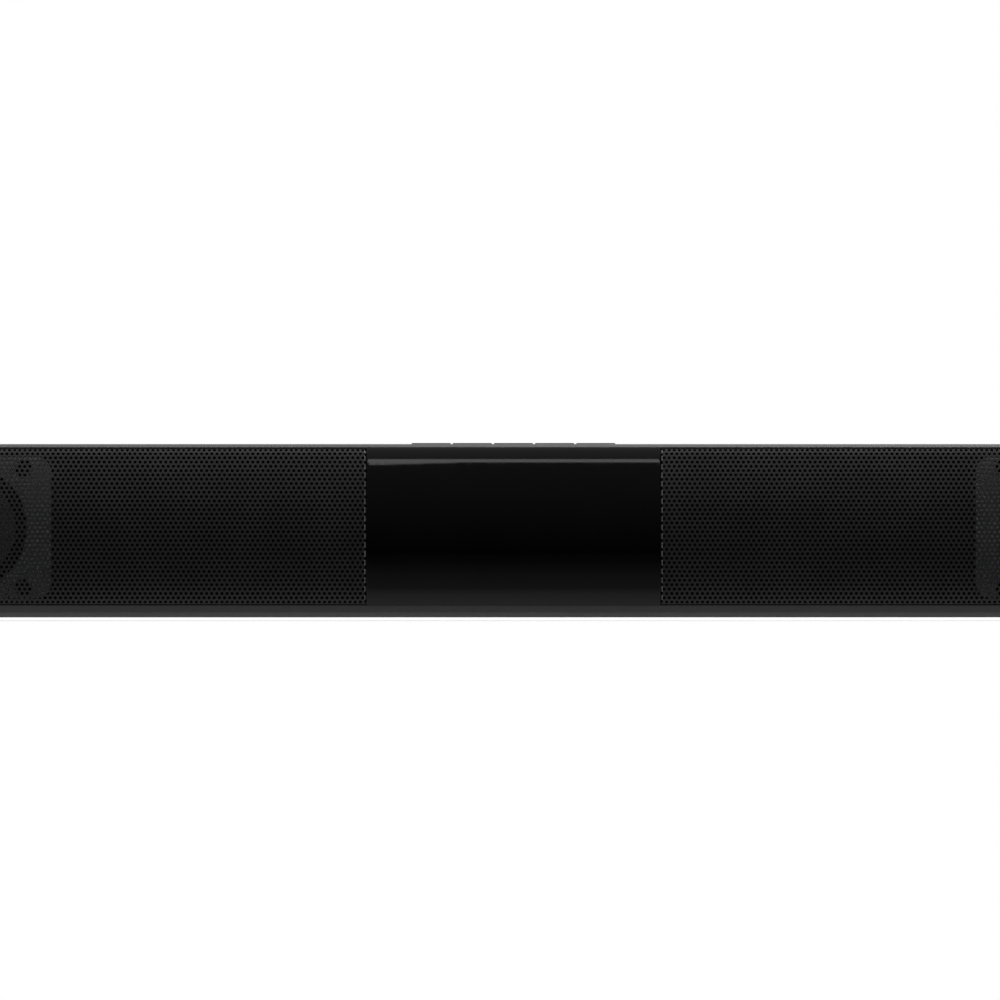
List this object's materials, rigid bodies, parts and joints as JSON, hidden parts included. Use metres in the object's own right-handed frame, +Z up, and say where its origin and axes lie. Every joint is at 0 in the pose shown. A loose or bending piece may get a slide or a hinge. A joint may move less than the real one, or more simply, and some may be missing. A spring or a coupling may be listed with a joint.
{
  "type": "soundbar",
  "caption": "Low soundbar with a bowed perforated front, gloss centre panel, press keys in the top, and sprung loudspeaker cones behind the grilles.",
  "frame": {"origin": "on the floor under the middle of the bar", "axes": "+X along the bar to the right seen from the front, +Y to the back, +Z up"},
  "size_m": [0.56, 0.062, 0.0596],
  "materials": {
    "housing_plastic": "fine satin texture, dark grey",
    "key_plastic": "satin",
    "switch_plastic": "matt black",
    "gloss_panel": "high gloss black",
    "grille_steel": "satin black paint",
    "zinc_steel": "zinc plated",
    "motor_iron": "dark ferrite and plated iron",
    "cone_paper": "pressed paper pulp, grey",
    "black_rubber": "matt",
    "spider_cloth": "resin-stiffened cloth",
    "circuit_board": "green solder mask",
    "sink_aluminium": "extruded",
    "capacitor_sleeve": "shrink sleeve",
    "black_screws": "black zinc"
  },
  "bodies": {
    "cabinet": {"rear_housing": "housing_plastic", "end_cap_left": "housing_plastic", "end_cap_right": "housing_plastic", "port_panel": "housing_plastic", "front_baffle": "housing_plastic", "tact_switches": "switch_plastic", "dc_inlet": "switch_plastic", "aux_jack": "switch_plastic", "centre_panel": "gloss_panel", "grille_left": "grille_steel", "grille_right": "grille_steel", "usb_socket": "zinc_steel", "driver_frame_left_outer": "zinc_steel", "driver_frame_left_inner": "zinc_steel", "driver_frame_right_inner": "zinc_steel", "driver_frame_right_outer": "zinc_steel", "driver_motor_left_outer": "motor_iron", "driver_motor_left_inner": "motor_iron", "driver_motor_right_inner": "motor_iron", "driver_motor_right_outer": "motor_iron", "driver_surround_left_outer": "black_rubber", "driver_surround_left_inner": "black_rubber", "driver_surround_right_inner": "black_rubber", "driver_surround_right_outer": "black_rubber", "foot_front_left": "black_rubber", "foot_front_right": "black_rubber", "foot_back_left": "black_rubber", "foot_back_right": "black_rubber", "driver_spider_left_outer": "spider_cloth", "driver_spider_left_inner": "spider_cloth", "driver_spider_right_inner": "spider_cloth", "driver_spider_right_outer": "spider_cloth", "driver_gaskets": "spider_cloth", "main_board": "circuit_board", "button_board": "circuit_board", "heat_sink": "sink_aluminium", "capacitors": "capacitor_sleeve", "driver_screws": "black_screws", "housing_screws": "black_screws", "panel_screws": "black_screws", "board_screws": "black_screws", "port_screws": "black_screws"},
    "power_key": {"button_power": "key_plastic", "plunger_power": "switch_plastic"},
    "volume_down_key": {"button_volume_down": "key_plastic", "plunger_volume_down": "switch_plastic"},
    "play_key": {"button_play": "key_plastic", "plunger_play": "switch_plastic"},
    "volume_up_key": {"button_volume_up": "key_plastic", "plunger_volume_up": "switch_plastic"},
    "source_key": {"button_source": "key_plastic", "plunger_source": "switch_plastic"},
    "left_outer_cone": {"driver_cone_left_outer": "cone_paper", "driver_dust_cap_left_outer": "cone_paper"},
    "left_inner_cone": {"driver_cone_left_inner": "cone_paper", "driver_dust_cap_left_inner": "cone_paper"},
    "right_inner_cone": {"driver_cone_right_inner": "cone_paper", "driver_dust_cap_right_inner": "cone_paper"},
    "right_outer_cone": {"driver_cone_right_outer": "cone_paper", "driver_dust_cap_right_outer": "cone_paper"}
  },
  "joints": [
    {"name": "power_press", "type": "slide", "parent": "cabinet", "child": "power_key", "axis": [0, 0, -1], "range_m": [0, 0.0004], "stiffness_N_per_m": 4000, "springref_m": -0.0001},
    {"name": "volume_down_press", "type": "slide", "parent": "cabinet", "child": "volume_down_key", "axis": [0, 0, -1], "range_m": [0, 0.0004], "stiffness_N_per_m": 4000, "springref_m": -0.0001},
    {"name": "play_press", "type": "slide", "parent": "cabinet", "child": "play_key", "axis": [0, 0, -1], "range_m": [0, 0.0004], "stiffness_N_per_m": 4000, "springref_m": -0.0001},
    {"name": "volume_up_press", "type": "slide", "parent": "cabinet", "child": "volume_up_key", "axis": [0, 0, -1], "range_m": [0, 0.0004], "stiffness_N_per_m": 4000, "springref_m": -0.0001},
    {"name": "source_press", "type": "slide", "parent": "cabinet", "child": "source_key", "axis": [0, 0, -1], "range_m": [0, 0.0004], "stiffness_N_per_m": 4000, "springref_m": -0.0001},
    {"name": "left_outer_excursion", "type": "slide", "parent": "cabinet", "child": "left_outer_cone", "axis": [0, -1, 0], "range_m": [-0.002, 0.002], "stiffness_N_per_m": 1200, "deforming": ["driver_surround_left_outer", "driver_spider_left_outer"]},
    {"name": "left_inner_excursion", "type": "slide", "parent": "cabinet", "child": "left_inner_cone", "axis": [0, -1, 0], "range_m": [-0.002, 0.002], "stiffness_N_per_m": 1200, "deforming": ["driver_surround_left_inner", "driver_spider_left_inner"]},
    {"name": "right_inner_excursion", "type": "slide", "parent": "cabinet", "child": "right_inner_cone", "axis": [0, -1, 0], "range_m": [-0.002, 0.002], "stiffness_N_per_m": 1200, "deforming": ["driver_surround_right_inner", "driver_spider_right_inner"]},
    {"name": "right_outer_excursion", "type": "slide", "parent": "cabinet", "child": "right_outer_cone", "axis": [0, -1, 0], "range_m": [-0.002, 0.002], "stiffness_N_per_m": 1200, "deforming": ["driver_surround_right_outer", "driver_spider_right_outer"]}
  ]
}
